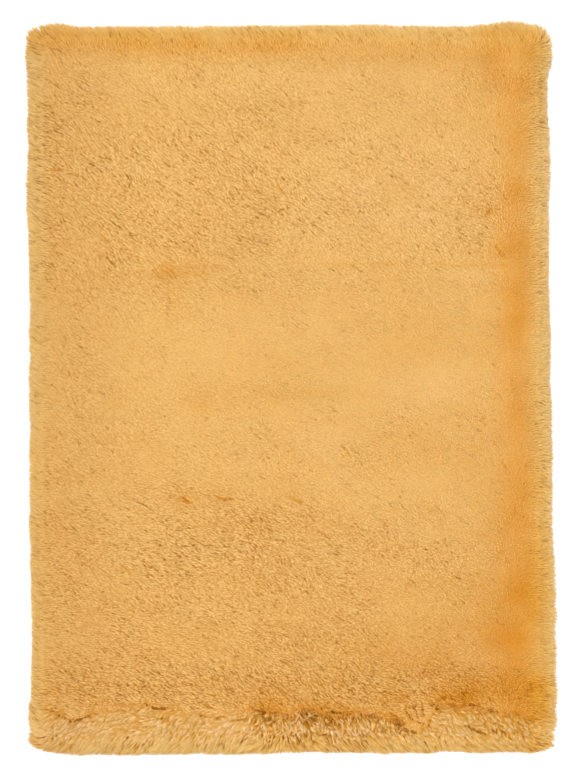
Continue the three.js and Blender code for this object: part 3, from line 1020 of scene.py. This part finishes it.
def grow(x, y, sizes, seed, half_width, length, before_line):
    """Tufts that grow from the foot at the given places, leaning with the nap and gathered into clumps.
    Before the parting line they are tousled."""
    random = np.random.default_rng(seed)
    count = len(x)
    nap = Nap(x, y)
    rough = nap.rough
    front = nap.front_share
    wild = along_front(x, "wild") * front
    foot = foot_height(x, y, sizes)
    fine = clumps(x, y, 0.0046, seed + 1, nap.angle, 2.0)
    wide = clumps(x, y, 0.0105 if before_line else 0.0230, seed + 2, nap.angle, 1.3 if before_line else 1.1)
    opening = opening_of(fine, rough * (1 - front) + (0.45 + 0.40 * along_front(x, "wild")) * front)
    valley = (1 - smoothstep(wide["inside"], 0.05, 0.42)) * wild**0.7

    rise = (SURFACE.top(x, y) - foot) * (1 - 0.25 * nap.edge_share)
    rise *= 1 + (0.10 + 0.20 * rough) * (fine["number"] - 0.5) + 0.50 * wild * (wide["number"] - 0.5)
    rise *= 1 - 0.20 * opening - 0.25 * valley
    rise += random.normal(0, 0.0008, count)
    twist = math.radians(24) * rough * (fine["number"] - 0.5) * (1 - front)
    twist += math.radians(90) * wild * (wide["number"] - 0.5)
    root = np.stack([x, y, foot - ROOT_SUNK], axis=1)
    tip = np.empty_like(root)
    tip[:, :2] = root[:, :2] + length * random.uniform(0.65, 1.2, count)[:, None] * nap.lean(twist)
    tip[:, 2] = root[:, 2] + rise + ROOT_SUNK
    loose = 1 - 0.7 * nap.edge_share
    pull_fine = (0.20 + 0.40 * rough) * (1 - front) + 0.20 * front
    pull_wide = 0.10 * rough * (1 - front) + 0.30 * front + 0.35 * wild
    for clump, pull in ((fine, pull_fine), (wide, pull_wide)):
        tip[:, 0] += pull * loose * (clump["x"] - x)
        tip[:, 1] += pull * loose * (clump["y"] - y)
    tip[:, :2] += random.normal(0, 0.0017, (count, 2))
    seen_x, seen_y = (root + SEEN_AT * (tip - root))[:, :2].T
    deep, lip = part_the_pile(seen_x, seen_y, tip, random)

    line = along_front(seen_x, "y")
    ragged = smoothstep(0.6 * drift(seen_x, seen_y, 0.016, 24) + drift(seen_x, seen_y, 0.006, 25), 0.0, 0.9)
    torn = hardness_of_line(seen_x) * ragged * np.exp(-((seen_y - line) / 0.013) ** 2)
    tick = clumps(seen_x, seen_y, 0.0085, seed + 3, nap.angle, 2.2)
    ticks = smoothstep(tick["side"], 0.10, 0.26) * (1 - smoothstep(tick["inside"], 0.10, 0.45)) * (1 - front)
    ticks *= smoothstep(tick["number"], 1 - 0.70 * rough, 1.01 - 0.30 * rough)
    sharp = smoothstep(along_front(seen_x, "wild"), 0.40, 0.70)
    faded = sharp * front + (1 - sharp) * smoothstep(line - seen_y, -0.035, 0.035)
    pale = 0.20 * rough * (1 - front)
    pale += paleness_in_front(seen_x, wild) * faded * (1 - valley) * (0.6 + wide["number"])
    near_rim = smoothstep(CLOTH_LOW[1] - y, -0.035, 0.0)
    # Painted shade: dark ticks along the clump borders and the gaps where the pile falls open.
    gap_shade = np.maximum((0.6 + 1.7 * rough) * ticks, 0.5 * opening) * (1 - front)
    opened = (1.6 + 0.4 * wild) * (1 - 0.4 * near_rim) * front * opening
    # Painted light and shade: lit is how far a tuft sits on the side of its clump towards the light, drawn
    # brighter where it is high and darker where it is low.
    lit = np.tanh(-1.6 * np.where(before_line, wide["side"], fine["side"]))
    # Painted shade: deeper in partings, most near the front, in torn places at the parting line, where the
    # front pile falls open, in the valleys between locks and on the dark side of front locks.
    deep *= 1.2 + 0.9 * smoothstep(-seen_y, 0.60, 0.68)
    deep = np.maximum.reduce([deep, 2.0 * torn, opened, 1.7 * valley, -0.8 * wild * lit])
    short = (1 - 0.20 * np.minimum(gap_shade + deep, 1))[:, None]
    tip[:, :2] = root[:, :2] + short * (tip - root)[:, :2]
    # Painted light and shade: relief sets how strongly the clump sides are drawn lit and shaded, the lip of a
    # parting gets a painted highlight, and gap shade raises the tone into the darkest marks.
    relief = 0.03 + 0.26 * rough * (1 - front) + 0.12 * front + 0.36 * wild
    tone = 0.50 - 0.24 * rough * (1 - front) - 0.17 * front - relief * lit
    tone += random.normal(0, 0.05 + 0.08 * rough + 0.08 * front, count) - 0.25 * lip + gap_shade
    return Tufts(
        root=root,
        tip=tip,
        width=half_width * random.uniform(0.8, 1.2, count),
        thickness=half_width * random.uniform(0.4, 0.7, count),
        spin=random.uniform(0, 2 * math.pi, count),
        tone=np.clip(tone, 0, 2),
        depth=colour_depth(seen_x, seen_y) + deep - pale,
        # Painted shade deeper at the root, where the nap is rough and in the wild front.
        painted_root_shade=0.30 * rough * (1 - front) + 0.35 * wild,
        root_rise=0.45 * (1 - rough) * (1 - front) + 0.2 * front,
        facing=np.tile([0.0, 0.0, 1.0], (count, 1)),
    )


def on_cloth(high_y, spacing, seed):
    """Scattered places on the cloth, a little inside its edge and from the front up to the given y."""
    low_x, low_y = CLOTH_LOW + EDGE_INSET
    return scattered(low_x, CLOTH_HIGH[0] - EDGE_INSET, low_y, high_y, spacing, seed)


class RUG_OT_field_tufts(bpy.types.Operator):
    """Makes the field's tufts, in four pieces from front to back"""

    bl_idname = "rug.field_tufts"
    bl_label = "Field tufts"

    def execute(self, context):
        sizes = context.scene.rug_pile
        x, y = on_cloth(CLOTH_HIGH[1] - EDGE_INSET, sizes.field_spacing, seed=101)
        behind = y > along_front(x, "y")
        x = x[behind]
        y = y[behind]
        tufts = grow(x, y, sizes, 110, sizes.field_width, FIELD_TUFT_LENGTH, before_line=False)
        cuts = np.quantile(y, [0.25, 0.5, 0.75])
        part = np.searchsorted(cuts, y)
        for index in range(4):
            name = f"field_tufts_{index + 1}"
            placed(name, tufts.kept(part == index).mesh(name), bpy.data.materials["pile_fibre"])
        return {"FINISHED"}


class RUG_OT_front_locks(bpy.types.Operator):
    """Makes the long locks that fall forward along the front edge"""

    bl_idname = "rug.front_locks"
    bl_label = "Front locks"

    def execute(self, context):
        sizes = context.scene.rug_pile
        x, y = on_cloth(CLOTH_LOW[1] + FRONT_BAND, sizes.front_spacing, seed=201)
        before = y <= along_front(x, "y")
        x = x[before]
        y = y[before]
        tufts = grow(x, y, sizes, 210, sizes.front_width, FRONT_LOCK_LENGTH, before_line=True)
        placed("front_locks", tufts.mesh("front_locks"), bpy.data.materials["pile_fibre"])
        return {"FINISHED"}


class RUG_OT_rim_tufts(bpy.types.Operator):
    """Makes the tufts that lean out past the cloth's edge all round"""

    bl_idname = "rug.rim_tufts"
    bl_label = "Rim tufts"
    SECTION_LENGTH = 0.042

    def execute(self, context):
        sizes = context.scene.rug_pile
        corner = context.scene.rug_cloth.corner
        straight = 2 * (CLOTH_HALF - corner)
        arc = math.pi / 2 * corner
        around = 2 * straight.sum() + 4 * arc
        s, share = scattered(0, around, 0, self.SECTION_LENGTH, sizes.rim_spacing, 301)
        share = share / self.SECTION_LENGTH
        random = np.random.default_rng(302)
        count = len(s)
        x, y, out = self.on_edge(s, corner, straight, arc)
        reach = rim_reach(x, y, out)
        top = SURFACE.top(x, y)
        inner, low, outer, high = (
            np.interp(share, RIM_SECTION["share"], RIM_SECTION[key])
            for key in ("root_reach", "root_rise", "reach", "rise")
        )
        tousled = smoothstep(-out[:, 1], 0.3, 0.9)
        root_past = inner * reach - (0.010 + 0.006 * tousled) * (1 - smoothstep(share, 0, 0.3))
        tip_past = root_past + (outer * reach - root_past) * random.uniform(0.60, 1.06, count)
        along = np.stack([-out[:, 1], out[:, 0]], axis=1)
        place = np.stack([x, y], axis=1)
        swept = np.maximum(smoothstep(-out[:, 0], 0.0, 0.9), smoothstep(out[:, 1], 0.0, 0.9))
        swept *= 0.014 * (along @ (math.cos(Nap.FIELD_ANGLE), math.sin(Nap.FIELD_ANGLE)))
        swept += (0.006 + 0.006 * tousled) * drift(x, y, 0.03, 306)
        turn = np.radians(along_front(x, "turn"))
        swept += 0.014 * tousled * np.clip(-np.cos(turn) / np.sin(turn), -1.2, 1.2)
        sideways = swept + random.normal(0, 0.0035, count)
        root = np.empty((count, 3))
        tip = np.empty((count, 3))
        root[:, :2] = place + out * root_past[:, None]
        root[:, 2] = top * low
        tip[:, :2] = place + out * tip_past[:, None] + along * sideways[:, None]
        tip[:, 2] = np.maximum(top * high + random.normal(0, 0.001, count), 0.001)
        seen_x, seen_y = (root + SEEN_AT * (tip - root))[:, :2].T
        way = out + along * (swept / 0.018)[:, None]
        group = clumps(seen_x, seen_y, 0.0064, 307, np.arctan2(way[:, 1], way[:, 0]), 1.6)
        rough = roughness_of_nap(seen_x, seen_y)
        wild = along_front(x, "wild") * tousled
        pull = (0.20 + 0.40 * np.maximum(rough, wild)) * np.maximum(1 - 2 * share, 0)
        tip[:, 0] += pull * (group["x"] - seen_x)
        tip[:, 1] += pull * (group["y"] - seen_y)
        opening = opening_of(group, np.maximum(rough, (0.3 + 0.7 * wild) * tousled))
        # Painted light: the rim's outer fibres are drawn paler, most along the right side, as if lit through.
        paler = np.where(out[:, 0] > 0, 0.55 + 0.40 * smoothstep(y, 0.1, 0.4), 0.26) * out[:, 0] ** 2
        paler += np.where(out[:, 1] > 0, 0.35, 0.15) * out[:, 1] ** 2
        middle = 0.20 * smoothstep(x, -0.10, 0.0) * tousled
        pale = 0.20 * rough * (1 - tousled) + (0.5 * paleness_in_front(seen_x, wild) - 0.20) * tousled
        # Painted shade where the rim's pile falls open: deeper at the front, darker marks elsewhere.
        gap = opening * (1 - 0.7 * share)
        depth = colour_depth(seen_x, seen_y) + middle + 1.9 * gap * tousled - pale
        depth -= paler * smoothstep(tip_past / reach, 0.45, 1.1)
        # Painted light and shade: one side of each rim clump drawn darker, the other brighter.
        relief = 0.08 + 0.42 * np.maximum(rough, wild)
        tone = 0.50 - 0.20 * rough * (1 - tousled) + relief * np.tanh(1.6 * group["side"])
        tone += random.normal(0, 0.08 + 0.08 * rough, count) + 1.3 * gap * (1 - tousled)
        tufts = Tufts(
            root=root,
            tip=tip,
            width=sizes.rim_width * random.uniform(0.7, 1.2, count),
            thickness=sizes.rim_width * random.uniform(0.4, 0.7, count),
            spin=random.uniform(0, 2 * math.pi, count),
            tone=np.clip(tone, 0, 2),
            depth=depth,
            # Painted shade deeper at the root, where the rim is rough or tousled.
            painted_root_shade=0.30 * np.maximum(rough, tousled),
            root_rise=0.45 * (1 - rough),
            facing=self.facing(out, share),
        )
        placed("rim_tufts", tufts.mesh("rim_tufts"), bpy.data.materials["pile_fibre"])
        return {"FINISHED"}

    @staticmethod
    def facing(out, share):
        """The way that the rim faces: up at its top, and somewhat out to the side low down."""
        turn = math.radians(12) * smoothstep(share, 0.2, 1.0)
        return 2 * np.stack([out[:, 0] * np.sin(turn), out[:, 1] * np.sin(turn), np.cos(turn)], axis=1)

    @staticmethod
    def on_edge(s, corner, straight, arc):
        """Places on the cloth's edge by the distance round it, and the way that it faces there."""
        half = CLOTH_HALF - corner
        legs = [
            ((-half[0], -half[1]), (1, 0), (0, -1), straight[0]),
            ((half[0], -half[1]), (0, 1), (1, 0), straight[1]),
            ((half[0], half[1]), (-1, 0), (0, 1), straight[0]),
            ((-half[0], half[1]), (0, -1), (-1, 0), straight[1]),
        ]
        x = np.zeros(len(s))
        y = np.zeros(len(s))
        out = np.zeros((len(s), 2))
        begin = 0.0
        for core, way, faces, length in legs:
            on_leg = (s >= begin) & (s < begin + length)
            t = s[on_leg] - begin
            x[on_leg] = core[0] + way[0] * t + faces[0] * corner
            y[on_leg] = core[1] + way[1] * t + faces[1] * corner
            out[on_leg] = faces
            begin += length
            on_arc = (s >= begin) & (s < begin + arc)
            angle = math.atan2(faces[1], faces[0]) + (s[on_arc] - begin) / corner
            turn = np.stack([np.cos(angle), np.sin(angle)], axis=1)
            end = np.array([core[0] + way[0] * length, core[1] + way[1] * length])
            x[on_arc] = end[0] + corner * turn[:, 0]
            y[on_arc] = end[1] + corner * turn[:, 1]
            out[on_arc] = turn
            begin += arc
        return x + CLOTH_CENTRE[0], y + CLOTH_CENTRE[1], out


class RUG_OT_declare_cloth(bpy.types.Operator):
    """Works out the flat size of the cloth, and does nothing more with it"""

    bl_idname = "rug.declare_cloth"
    bl_label = "Declare the cloth"

    def execute(self, context):
        flat = tuple(float(2 * half) for half in CLOTH_HALF)
        return {"FINISHED"}


class RUG_OT_stage(bpy.types.Operator):
    """Makes the plain pale floor, the soft studio light and the camera straight above"""

    bl_idname = "rug.stage"
    bl_label = "Stage"

    def execute(self, context):
        stage = context.scene.rug_stage
        shape = bmesh.new()
        bmesh.ops.create_grid(shape, x_segments=1, y_segments=1, size=40)
        floor = bpy.data.objects.new("floor", mesh_from_bmesh("floor", shape))
        context.scene.collection.objects.link(floor)
        material, tree = new_material("floor_paint")
        finish_material(tree, rgba(stage.floor), 0.9)
        floor.data.materials.append(material)

        world = bpy.data.worlds.new("studio")
        world.use_nodes = True
        world.node_tree.nodes["Background"].inputs["Color"].default_value = (1, 1, 1, 1)
        world.node_tree.nodes["Background"].inputs["Strength"].default_value = stage.sky
        context.scene.world = world

        light = bpy.data.lights.new("key", "SUN")
        light.energy = stage.key
        light.angle = math.radians(22)
        key = bpy.data.objects.new("key", light)
        key.rotation_euler = Vector((0.14, -0.22, -1)).to_track_quat("-Z", "Y").to_euler()
        context.scene.collection.objects.link(key)

        data = bpy.data.cameras.new("camera")
        data.lens = stage.lens
        camera = bpy.data.objects.new("camera", data)
        long_side = IMAGE_HEIGHT * METRES_PER_PIXEL
        distance = long_side * data.lens / data.sensor_width
        camera.location = (
            (IMAGE_WIDTH / 2 - RUG_CENTRE_PIXEL[0]) * METRES_PER_PIXEL,
            (RUG_CENTRE_PIXEL[1] - IMAGE_HEIGHT / 2) * METRES_PER_PIXEL,
            distance + CAD_BOX[1][2] / 2,
        )
        context.scene.collection.objects.link(camera)
        context.scene.camera = camera
        context.scene.view_settings.view_transform = "Standard"
        return {"FINISHED"}


class RUG_PT_panel(bpy.types.Panel):
    """The rug's pieces in the sidebar"""

    bl_label = "Plush rug"
    bl_idname = "RUG_PT_panel"
    bl_space_type = "VIEW_3D"
    bl_region_type = "UI"
    bl_category = "Rug"

    def draw(self, context):
        for step in STEPS:
            self.layout.operator(step.bl_idname)
        for name in GROUPS:
            group = getattr(context.scene, name)
            box = self.layout.box()
            for key in group.__annotations__:
                box.prop(group, key)


STEPS = (
    RUG_OT_backing_cloth,
    RUG_OT_pile_foot,
    RUG_OT_field_tufts,
    RUG_OT_front_locks,
    RUG_OT_rim_tufts,
    RUG_OT_declare_cloth,
    RUG_OT_stage,
)
GROUPS = {
    "rug_cloth": RugClothProperties,
    "rug_pile": RugPileProperties,
    "rug_colours": RugColourProperties,
    "rug_stage": RugStageProperties,
}


def register():
    for group in GROUPS.values():
        bpy.utils.register_class(group)
    for name, group in GROUPS.items():
        setattr(bpy.types.Scene, name, bpy.props.PointerProperty(type=group))
    for step in STEPS:
        bpy.utils.register_class(step)
    bpy.utils.register_class(RUG_PT_panel)


def unregister():
    bpy.utils.unregister_class(RUG_PT_panel)
    for step in reversed(STEPS):
        bpy.utils.unregister_class(step)
    for name, group in GROUPS.items():
        delattr(bpy.types.Scene, name)
        bpy.utils.unregister_class(group)


def main():
    """Makes the whole rug and its stage."""
    register()
    bpy.ops.rug.backing_cloth()
    bpy.ops.rug.pile_foot()
    bpy.ops.rug.field_tufts()
    bpy.ops.rug.front_locks()
    bpy.ops.rug.rim_tufts()
    bpy.ops.rug.declare_cloth()
    bpy.ops.rug.stage()


if __name__ == "__main__":
    main()
